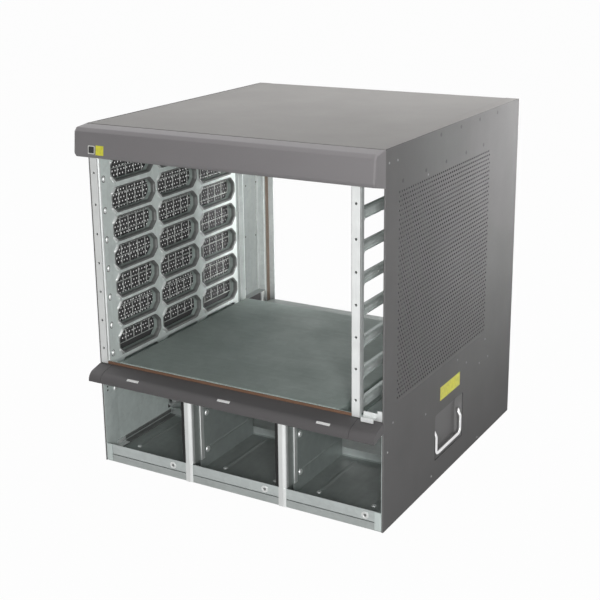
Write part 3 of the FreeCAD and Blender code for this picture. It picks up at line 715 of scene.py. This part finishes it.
def wallBends(w, hasLip):
    # folded strips, inside faces at x = 0: the bends at both ends, the two front margins, the rear margin
    first, last = w.columns[0] - w.cell, w.columns[-1] + w.cell
    turn, back = w.rear - w.rearTurn, -w.reach
    tall, beside, below = ("z", w.foot, w.top), ("z", w.flangeFoot, w.top), ("z", w.foot, w.flangeFoot)
    fold = [(-w.flangeStart, w.front), (0, w.front), (0, w.frontTurn)]
    bends = [bentSheet(fold, [w.bend], w.sheet, *beside, 8),
             bentSheet([(0, turn), (0, w.rear), (w.rearFlange, w.rear)], [w.rearBend], w.sheet, *tall)]
    if hasLip:
        path = [(back, w.front + w.lip), (back, w.front), (back + w.lipIn, w.front)]
        bends.append(bentSheet(path, [w.lipBend], w.sheet, *beside))
    margins = [bentSheet([(0, w.frontTurn), (0, first)], [], w.sheet, *beside),
               bentSheet([(0, w.front + w.bend), (0, first)], [], w.sheet, *below)]
    return bends, margins, [bentSheet([(0, last), (0, turn)], [], w.sheet, *tall)]


def catchShapes(w):
    # bumps, r * cos t wide and high * sin t proud, stretched upwards; dark rounded plates round them as
    # painted shade in their slots
    middles = [(w.catchY, z - w.catchBelow + w.catchTall / 2) for z in w.rows]
    points, blocks = domes([(0, 0, 0)], (1, 0, 0), w.catchWide / 2, w.catchHigh)
    points = points * (1, 1, w.catchTall / w.catchWide)
    wide, tall = w.catchWide / 2 + w.slotMargin, w.catchTall / 2 + w.slotMargin
    outline = roundBox((-wide, wide), (-tall, tall), wide - w.slotFlat)
    bumps = [(points + (0, *middle), blocks) for middle in middles]
    return bumps, [prism(outline + middle, "x", *w.slotSpan) for middle in middles]


def windowBeads(w):
    # short rounded ridges beside the two front chamfers of every window
    out = w.beadGap * math.sqrt(0.5)
    far, near = w.halfLong + out, w.halfLong - w.chamfer + out
    low, high = w.halfTall - w.chamfer + out, w.halfTall + out
    return [ridge((0, y - far, z + way * low), (0, y - near, z + way * high), (1, 0, 0), w.beadWide,
                  w.beadHigh) for y in w.columns for z in w.rows for way in (-1, 1)]


def placed(shapes, x, flip=False):
    turnedOver = [mirrored(shape) if flip else shape for shape in shapes]
    return [(points + (x, 0, 0), blocks) for points, blocks in turnedOver]


field, roots, ends = windowField(wall)
bumps, slotShades = catchShapes(wall)
# the collars of the left wall are in dark zinc and the collar ends of the right wall in the darker collar
# zinc, as painted shade
for side, flip, rootFinish, endFinish in (("left", False, guideAndShadeZinc, shadedDeckZinc),
                                          ("right", True, cageZinc, shadedCollarZinc)):
    x, start, node = wall[side], side + "_wall_", [side + "_cage_wall"]
    low, high = nodeBox(side + "_front_rail")
    inner = x + wall.flangeStart if flip else x - wall.flangeStart
    flange = holedStrip(sorted((inner, low[0] + high[0] - inner)), (wall.flangeFoot, wall.top), wall.rows,
                        wall.railHole, wall.front)
    face = x + wall.sheet if flip else x
    for ending, shapes, finish in (("windows", placed(field, face) + flange, cageZinc),
                                   ("collars", placed(roots, face), rootFinish),
                                   ("collar_ends", placed(ends, face), endFinish)):
        makePiece(start + ending, shapes, finish, node, wall=wall.sheet, turn=False)
    bends, margins, rearMargin = wallBends(wall, flip)
    # the bends in the lighter zinc and the beads and catches in bright plating are painted highlights; the
    # rear margin in the darker liner zinc and the catch slots in near-black zinc are painted shade
    for ending, shapes, finish in (("bends", bends, litFoldZinc), ("margins", margins, cageZinc),
                                   ("rear_margin", rearMargin, shadedLinerZinc),
                                   ("beads", windowBeads(wall), brightAndHighlightSteel),
                                   ("catch_slot_shades", slotShades, guideAndShadeZinc), ("catches", bumps, brightAndHighlightSteel)):
        makePiece(start + ending, placed(shapes, x, flip), finish, node)

rail = Sizes(hole=1.65, thick=2.5, edge=0.35)
# the left rail in the dimmer copy of the plating as painted shade, the right rail in the bright one as
# painted highlight
for side, finish in (("left", postAndShadeSteel), ("right", brightAndHighlightSteel)):
    low, high = nodeBox(side + "_front_rail")
    strip = holedStrip((low[0], high[0]), (low[2], high[2]), wall.rows, rail.hole, low[1])
    makePiece(side + "_rail_strip", strip, finish, [side + "_front_rail"], "bright_steel", wall=rail.thick,
              edge=rail.edge, turn=False)

guard = Sizes(face=-213.65, wire=1.5, weld=0.2, rows=15, rowPitch=18.0, columns=18, columnPitch=18.15,
              foot=161.55, front=19.85, rear=338.0)


def guardRods(g):
    # straight round rods, sunk into each other where they cross
    r = g.wire / 2
    y = np.linspace(g.front, g.rear, 3)
    z = np.linspace(g.foot, g.foot + (g.rows - 1) * g.rowPitch + g.wire, 3)
    paths = [[(g.face - r, v, g.foot + r + k * g.rowPitch) for v in y] for k in range(g.rows)]
    outer = g.face - 3 * r + g.weld
    paths += [[(outer, g.front + r + k * g.columnPitch, v) for v in z] for k in range(g.columns)]
    return [tube(np.array(path), r, (1, 0, 0), 8) for path in paths]


makePiece("air_guard_wires", guardRods(guard), wireZinc, ["left_air_guard"], "guard_wire", sharp=60)
print("card cage ready")

# Deck and front gasket
deck = Sizes(path=[(172.7, 139.7), (155.5, 139.7), (155.5, 152.5), (-187.0, 152.5), (-187.0, 139.7),
                   (-204.2, 139.7)], bends=[1.5, 2.5, 2.5, 1.5], sheet=1.2, span=(3.7, 330.0),
             endX=(-186.0, 154.5), endsY=((3.8, 4.9), (328.8, 329.9)), endZ=(139.7, 151.4))
deckShapes = [bentSheet(deck.path, deck.bends, deck.sheet, "y", *deck.span)]
deckShapes += [slab(deck.endX, y, deck.endZ) for y in deck.endsY]
# the deck in the darker copy of the zinc, as painted shade
makePiece("card_deck_sheet", deckShapes, shadedDeckZinc, ["card_deck"])

gasket = Sizes(bulge=0.12, corner=0.6, cells=60, short=0.19, long=0.071, lead=1.3)


def foamStrip(g, low, high):
    # a rounded section carried along x, its front moved by the bulge times the mean of two sines of x
    outline = roundBox((low[1], high[1]), (low[2], high[2]), [g.corner, 0, 0, g.corner], 3)
    x = np.linspace(low[0], high[0], g.cells)
    wave = g.bulge * (np.sin(x * g.short) + np.sin(x * g.long + g.lead)) / 2
    flat = np.repeat(outline[None], g.cells, 0)
    flat[:, :, 0] += wave[:, None] * (outline[:, 0] < (low[1] + high[1]) / 2)
    return closedSkin(lift(flat, x[:, None], "x"))


foam = foamStrip(gasket, *nodeBox("front_gasket"))
makePiece("front_gasket_foam", [foam], gasketFoam, ["front_gasket"], "brown_gasket")

# Power bays
bay = Sizes(posts=(-73.3, 73.3), postHalf=5.8, postDeep=40.0, postBend=1.6, rollBend=4.9, step=0.8,
            turnIn=7.0, plainFoot=0.3, rolledFoot=0.55, sill=26.3, head=128.0, sheet=1.2,
            sealX=(-4.6, -0.1), sealY=(1.0, 2.4), sealRound=0.6, dividerSpan=(19.0, 155.2),
            dividerHeight=(11.8, 151.3), dividerBend=1.8, hem=8.0, hemRound=[1.15, 1.15, 0.3, 0.3],
            dimples=((36.0, 36.0), (36.0, 90.0)), dimpleRadius=4.6, dimpleHigh=2.4, beadZ=38.5,
            beadSpan=(42.0, 142.0), beadWide=4.0, beadHigh=1.0)


def postShapes(b, x):
    # a channel above the sill, below it the front plate alone: plain left part, rolled right edge, flange
    left, right, split = x - b.postHalf, x + b.postHalf, x + b.step
    tall = ("z", b.sill, b.head)
    plain = [bentSheet([(left, b.postDeep), (left, 0), (split, 0)], [b.postBend], b.sheet, *tall),
             slab((left, split), (0, b.sheet), (0, b.sill), b.plainFoot)]
    rolled = [bentSheet([(split, 0), (right, 0), (right, b.turnIn)], [b.rollBend], b.sheet, *tall),
              slab((split, right), (0, b.sheet), (0, b.sill), b.rolledFoot)]
    return plain, rolled, [slab((right - b.sheet, right), (b.turnIn, b.postDeep), (b.sill, b.head))]


def dividerShapes(b, x):
    # a sheet folded at the rear with a bead on either side; hemmed noses at the front, and dimples
    left, right = x - b.postHalf - b.sheet, x + b.postHalf + b.sheet
    front, rear = b.dividerSpan
    path = [(right, front), (right, rear), (left, rear), (left, front)]
    skin = [bentSheet(path, [b.dividerBend] * 2, b.sheet, "z", *b.dividerHeight)]
    noses = []
    for face, way in ((left, -1), (right, 1)):
        nose = roundBox((face - b.sheet, face + b.sheet), (front, front + b.hem), b.hemRound, 6)
        dents = [(face, y, z) for y, z in b.dimples]
        noses += [prism(nose, "z", b.sill, b.head),
                  domes(dents, (way, 0, 0), b.dimpleRadius, b.dimpleHigh, sides=18, rings=5)]
        skin.append(ridge(*[(face, y, b.beadZ) for y in b.beadSpan], (way, 0, 0), b.beadWide, b.beadHigh))
    return skin, noses


for side, x in zip(("left", "right"), bay.posts):
    # the channel in the dimmer plating as painted shade, the rolled edge in bright plating as painted
    # highlight, the side flange in dark zinc as painted shade
    parts = zip(("channel", "edge", "flange"), postShapes(bay, x), (postAndShadeSteel, brightAndHighlightSteel, shadedFloorZinc))
    for part, shapes, finish in parts:
        makePiece(side + "_post_" + part, shapes, finish, [side + "_psu_post"], "bright_steel")
    # a black strip in the gap left of each post, as painted shade
    shadeStrip = slab([x - bay.postHalf + u for u in bay.sealX], bay.sealY, (bay.sill, bay.head), bay.sealRound)
    makePiece(side + "_post_shade_strip", [shadeStrip], shadeBlack, slot="black_socket")
    skin, noses = dividerShapes(bay, x)
    # the divider sheet in darker zinc as painted shade, its noses and dimples in bright plating as painted
    # highlight
    makePiece(side + "_divider_sheet", skin, shadedDividerZinc, [side + "_psu_divider"])
    makePiece(side + "_divider_noses", noses, brightAndHighlightSteel, [side + "_psu_divider"])

tray = Sizes(half=215.6, front=1.2, rear=158.2, foot=10.6, sill=26.0, stop=22.0, turn=6.0, bend=1.8,
             sheet=1.2, skirtY=(25.0, 155.0), skirtZ=(1.2, 11.2), centres=(-146.6, 0.0, 146.6),
             ribOffset=40.0, ribSpan=(46.0, 148.0), ribWide=6.5, ribHigh=1.2, studY=39.0, studRadius=3.5,
             studHigh=1.5,
             insertOffset=46.0, insertZ=18.0, boreShade=[(2.2, -0.1), (2.2, 0.3), (1.6, 0.35)],
             ring=[(5.0, -0.2), (5.0, 0.6), (4.7, 0.95), (2.6, 0.95), (2.1, 0.6), (2.0, -0.2)])
floorTop = tray.foot + tray.sheet
ribs = [centre + way * tray.ribOffset for centre in tray.centres for way in (-1, 1)]


def trayShapes(t):
    # the sill and the rear stop, both bent up from the floor; the floor, its two skirts and rounded ribs
    near, far = t.front + t.turn, t.rear - t.turn
    wide = ("x", -t.half, t.half)
    ends = [bentSheet([(t.front, t.sill), (t.front, t.foot), (near, t.foot)], [t.bend], t.sheet, *wide),
            bentSheet([(far, t.foot), (t.rear, t.foot), (t.rear, t.stop)], [t.bend], t.sheet, *wide)]
    floor = [bentSheet([(near, t.foot), (far, t.foot)], [], t.sheet, *wide)]
    floor += bothSides([slab((t.half - t.sheet, t.half), t.skirtY, t.skirtZ)])
    floor += [ridge(*[(x, y, floorTop) for y in t.ribSpan], (0, 0, 1), t.ribWide, t.ribHigh) for x in ribs]
    return ends, floor


trayEnds, trayFloor = trayShapes(tray)
# the sill and rear stop in the lighter zinc as painted light, the floor in the darker zinc as painted shade
makePiece("psu_tray_ends", trayEnds, litTrayZinc, ["psu_tray"])
makePiece("psu_tray_floor", trayFloor, shadedFloorZinc, ["psu_tray"])
studPlaces = [(x, tray.studY, floorTop) for x in ribs]
studs = domes(studPlaces, (0, 0, 1), tray.studRadius, tray.studHigh, sides=18, rings=5)
makePiece("floor_studs", [studs], brightAndHighlightSteel, ["psu_floor_studs"], "bright_steel")
inserts = [(centre + tray.insertOffset, tray.sheet, tray.insertZ) for centre in tray.centres]
# the bores are dark caps in near-black zinc, as painted shade inside the threaded holes
for part, sides, finish in (("ring", 20, postAndShadeSteel), ("boreShade", 16, guideAndShadeZinc)):
    shape = turned(inserts, (0, -1, 0), tray[part], sides)
    makePiece("insert_" + part + "s", [shape], finish, ["sill_inserts"], "bright_steel")

# Clips of the corner guides, and thin strips of lighter zinc along their edges as painted highlights
guide = Sizes(clip=[(-206.0, 13.2), (-214.2, 13.2), (-214.2, 20.8)], clipBend=1.5, clipSheet=0.9,
              clipSpan=(23.0, 41.0), edgesX=((206.5, 207.2), (214.6, 215.3)), edgeY=(26.0, 154.0),
              edgeZ=(20.0, 20.9))
clip = bentSheet(guide.clip, [guide.clipBend], -guide.clipSheet, "y", *guide.clipSpan)
makePiece("guide_clips", bothSides([clip]), brightAndHighlightSteel)
makePiece("guide_edge_highlights", bothSides([slab(x, guide.edgeY, guide.edgeZ) for x in guide.edgesX]), litTrayZinc)

# Liner lips at the front of the outer bays, with black bumps as painted shade in their holes and in the holes
# of the rear liners; the dimples in bright plating as painted highlight
lip = Sizes(x=(214.9, 215.58), y=(0.6, 30.0), z=(1.4, 128.0), corner=0.25, holeRadius=1.5, holeHigh=0.2,
            foot=((206.0, 214.9), (0.3, 1.1), (1.6, 26.0), 0.3), dimple=(26.0, 101.0), dimpleRadius=4.0,
            dimpleHigh=2.0, holes=((9.0, 103.0), (9.0, 108.5), (8.0, 15.5), (17.0, 9.0)), rearFace=215.6,
            rearHoles=((383.3, 322.7), (414.0, 323.3), (379.6, 238.3), (410.5, 234.5), (375.8, 150.5)))
inward = (-1, 0, 0)
lips = [slab(lip.x, lip.y, lip.z, lip.corner), slab(*lip.foot)]
dimples = [domes([(lip.x[0], *lip.dimple)], inward, lip.dimpleRadius, lip.dimpleHigh, sides=16, rings=5)]
holes = [domes([(x, *place) for place in places], inward, lip.holeRadius, lip.holeHigh, sides=12, rings=3)
         for x, places in ((lip.x[0], lip.holes), (lip.rearFace, lip.rearHoles))]
for part, shapes, finish in (("lips", lips, bayZinc), ("dimples", dimples, brightAndHighlightSteel),
                             ("holes", holes, shadeBlack)):
    makePiece("liner_" + part, bothSides(shapes), finish)
print("power bays ready")

# Handles
handle = Sizes(half=218.0, mouth=panel.mouth, corner=4.0, deep=12.0, fillet=3.4, sheet=1.2,
               rim=[(8.0, 0.0), (0.6, 0.0), (0.18, 0.18), (0.0, 0.6)], wireRadius=2.5, pivotX=212.8,
               pivotZ=72.0, reach=3.8, jog=8.0, span=83.4, drop=33.0, bends=[2.7, 6.0, 6.5], tip=53.45)


def dishShape(h):
    # arc centre + (corner + grow) * (cos, sin) for every ring: flat rim, straight wall, rounded foot, floor
    y0, y1, z0, z1 = h.mouth
    r, f = h.corner, h.fillet
    centres = np.array([(y1 - r, z1 - r), (y0 + r, z1 - r), (y0 + r, z0 + r), (y1 - r, z0 + r)])
    angle = np.radians(90 * np.arange(4)[:, None] + np.linspace(0, 90, 6))
    ring = np.stack([np.cos(angle), np.sin(angle)], -1)
    foot = np.stack([-f * (1 - np.cos(quarter)), h.deep - h.sheet - f + f * np.sin(quarter)], 1)
    grows, depths = np.concatenate([h.rim, foot]).T
    flat = (centres[:, None] + (r + grows)[:, None, None, None] * ring).reshape(len(grows), -1, 2)
    points, blocks = closedSkin(lift(flat, (h.half - h.sheet - depths)[:, None], "x"))
    return points, [blocks[0], blocks[2]]  # the mouth stays open


def bailShape(h):
    # round wire along one rounded path: pin, short jog outwards, arm, bar, and back up the other side
    middle = (h.mouth[0] + h.mouth[1]) / 2
    x, arm = h.pivotX + h.reach, h.span / 2
    side = [(h.pivotX, h.tip, h.pivotZ), (h.pivotX, arm, h.pivotZ), (x, arm, h.pivotZ - h.jog),
            (x, arm, h.pivotZ - h.drop)]
    points = [(x, middle + u, z) for x, u, z in side] + [(x, middle - u, z) for x, u, z in reversed(side)]
    return tube(roundPath(points, h.bends + h.bends[::-1], 8), h.wireRadius, (1.0, 0.0, 0.25), 20)


# the backs of the dish pans in the lighter zinc, as painted light
makePair("_dish_pan", [dishShape(handle)], dishPaint, "_handle_dish", slot="painted_grey", wall=handle.sheet,
         inside=litFoldZinc, turn=False)
makePair("_bail_wire", [bailShape(handle)], bailChrome, "_handle_bail", "_bail", slot="chrome_wire", sharp=60)
print("handles ready")

# Rear liners, each with its flange, and the foam on the rear posts
rearLiner = Sizes(outX=216.8, inX=204.0, front=343.2, turn=414.0, rear=419.0, foot=138.5, top=437.0,
                  sheet=1.2, bend=1.8)
rearStrip = Sizes(x=(207.1, 212.6), y=(437.3, 438.8), z=(30.0, 450.0), corner=0.5)


def rearLinerShapes(r):
    # a flat skin with a ledge at its foot, and a folded flange behind them
    face = r.outX - r.sheet
    skin = [slab((face, r.outX), (r.front, r.turn), (r.foot, r.top)),
            slab((r.inX, face), (r.front, r.rear - r.sheet), (r.foot, r.foot + r.sheet))]
    path = [(r.outX, r.turn), (r.outX, r.rear), (r.inX, r.rear)]
    return skin, [bentSheet(path, [r.bend], r.sheet, "z", r.foot, r.top)]


skin, flange = rearLinerShapes(rearLiner)
# the skins in the darker zinc as painted shade, the flanges in the lighter zinc as painted light
makePair("_rear_liner_skin", skin, shadedLinerZinc, "_rear_liner")
makePair("_rear_liner_flange", flange, litFoldZinc, "_rear_liner")
makePair("_rear_foam", [slab(**rearStrip)], rearFoam, "_rear_gasket", slot="brown_gasket")
print("rear pieces ready")

# Pieces whose shape is right as it is
# the rear corner posts in the lighter zinc are painted light, the rear lower panel in the darker zinc is
# painted shade, and the bay guides take the near-black zinc
dressed = {bayZinc: ["left_bay_liner", "right_bay_liner", "lower_crossmember"],
           guideAndShadeZinc: ["left_bay_guide", "right_bay_guide"],
           litFoldZinc: ["left_rear_corner_post", "right_rear_corner_post"],
           cageZinc: ["upper_crossmember", "cage_ceiling"],
           baseZinc: ["base_pan"], shadedFloorZinc: ["rear_lower_panel"], brightAndHighlightSteel: ["fan_slot_bracket"],
           yellowFilm: ["side_sticker", "fascia_mark"]}
for finish, names in dressed.items():
    for name in names:
        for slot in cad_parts[name].material_slots:
            slot.material = finish
print("carried pieces dressed")

# Floor and light, in metres of the shared frame
studio = Sizes(floorColour=0.25, floorLift=0.98, floorHalf=30.0, floorRows=8, floorColumns=9, ambient=0.07)
lamps = {"top": Sizes(place=(0.2, 0.45, 2.5), aim=(0, 0, 0.48), power=30.0, size=1.6, spread=180),
         "key": Sizes(place=(0.95, -1.55, 0.62), aim=(0, -0.1, 0.24), power=17.6, size=0.5, spread=180),
         "side": Sizes(place=(1.6, 0.85, 0.8), aim=(0.218, 0.3, 0.52), power=1.4, size=0.3, spread=32),
         "fill": Sizes(place=(-2.2, 0.05, 0.9), aim=(-0.218, 0.0, 0.25), power=20.0, size=1.0, spread=180)}


def seen(tree):
    # one for rays from the camera, a mirror or through glass
    camera, mirror, glass = (addNode(tree, "LightPath", {}, output="Is " + kind + " Ray")
                             for kind in ("Camera", "Glossy", "Transmission"))
    either = addNode(tree, "Math", {0: camera, 1: mirror}, "MAXIMUM")
    return addNode(tree, "Math", {0: either, 1: glass}, "MAXIMUM")


def stageFloor(s):
    # a flat grid, wide enough to fill the picture behind the chassis
    x, y = (np.linspace(-s.floorHalf, s.floorHalf, count) for count in (s.floorColumns, s.floorRows))
    points = lift(np.stack(np.meshgrid(x, y), -1).reshape(-1, 2), 0.0, "z")
    mesh = bpy.data.meshes.new("studio_floor")
    mesh.from_pydata(points.tolist(), [], gridFaces(s.floorRows, s.floorColumns).tolist())
    material = bpy.data.materials.new("studioFloor")
    material.use_nodes = True
    tree = material.node_tree
    tree.nodes.remove(tree.nodes["Principled BSDF"])
    matte = addNode(tree, "BsdfDiffuse", {"Color": (s.floorColour, s.floorColour, s.floorColour, 1)})
    glow = addNode(tree, "Emission", {})
    share = addNode(tree, "Math", {0: seen(tree), 1: s.floorLift}, "MULTIPLY")
    mixed = addNode(tree, "MixShader", {0: share, 1: matte, 2: glow})
    feed(tree, tree.nodes["Material Output"], {"Surface": mixed})
    mesh.materials.append(material)
    floor = bpy.data.objects.new("studio_floor", mesh)
    scene.collection.objects.link(floor)


def stageWorld(s):
    # white to the rays that see it, and a low even light to all the others
    scene.world = bpy.data.worlds.new("studio")
    scene.world.use_nodes = True
    tree = scene.world.node_tree
    light = {"Color": (1, 1, 1, 1), "Strength": between(tree, seen(tree), s.ambient, 1.0, 0, 1)}
    feed(tree, tree.nodes["Background"], light)


def softLight(name, s):
    lamp = bpy.data.lights.new(name, "AREA")
    lamp.energy = s.power
    lamp.size = s.size
    lamp.spread = math.radians(s.spread)
    holder = bpy.data.objects.new(name, lamp)
    back = unit(np.array(s.place) - s.aim)
    across = unit(np.cross([0, 0.01, 1], back))
    holder.matrix_world = Matrix([*zip(across, np.cross(back, across), back, s.place), (0, 0, 0, 1)])
    scene.collection.objects.link(holder)


stageFloor(studio)
stageWorld(studio)
for name, lamp in lamps.items():
    softLight(name + "Light", lamp)

# Camera, its place in millimetres from the panel front
view = Sizes(place=(795.2815, -1204.5617, 735.1553), azimuth=30.983968, elevation=15.543418, roll=-0.960444,
             sensor=36, lens=71.4386, shift=(0.0379, -0.0807))
lens = bpy.data.cameras.new("photoView")
lens.sensor_width = view.sensor
lens.lens = view.lens
lens.shift_x, lens.shift_y = view.shift
pose = Matrix.Translation(toFrame(view.place))
for angle, axis in ((view.azimuth, "Z"), (90 - view.elevation, "X"), (view.roll, "Z")):
    pose = pose @ Matrix.Rotation(math.radians(angle), 4, axis)
camera = bpy.data.objects.new("photoView", lens)
camera.matrix_world = pose
scene.collection.objects.link(camera)
scene.camera = camera
scene.view_settings.view_transform = "Standard"

print("scene ready")
